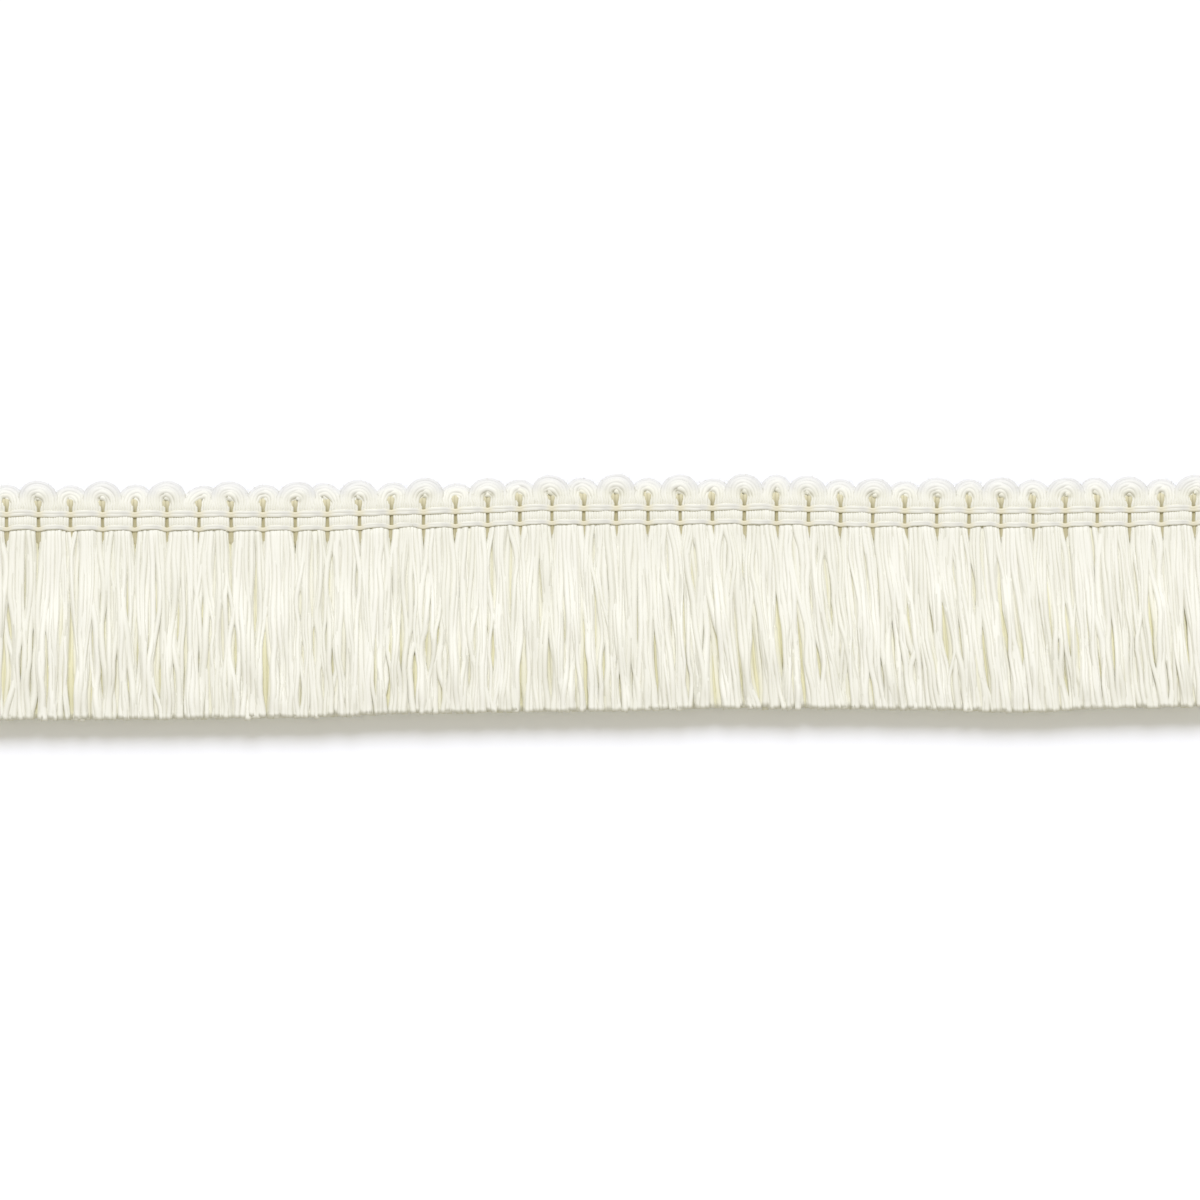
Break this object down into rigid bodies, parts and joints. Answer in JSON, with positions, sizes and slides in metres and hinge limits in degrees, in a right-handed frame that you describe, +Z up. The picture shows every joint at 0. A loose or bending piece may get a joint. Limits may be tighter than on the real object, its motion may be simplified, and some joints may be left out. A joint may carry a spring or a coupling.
{
  "type": "ruche trim",
  "caption": "Cut length of ivory brush fringe: a ribbed heading with a looped top edge, two binder cords across it, and a thick cut skirt of yarn below.",
  "frame": {"origin": "centre of the trim's underside, where it rests on the surface", "axes": "+X along the trim; +Y from the cut ends of the skirt to the loops of the heading; +Z up, out of the face"},
  "size_m": [0.208, 0.04, 0.0041],
  "materials": {
    "ivory_yarn": "soft, slightly silky spun yarn",
    "ivory_binder": "fine twisted thread"
  },
  "bodies": {
    "root": {"heading": "ivory_yarn", "skirt": "ivory_yarn", "upper_binder": "ivory_binder", "lower_binder": "ivory_binder"}
  },
  "joints": []
}
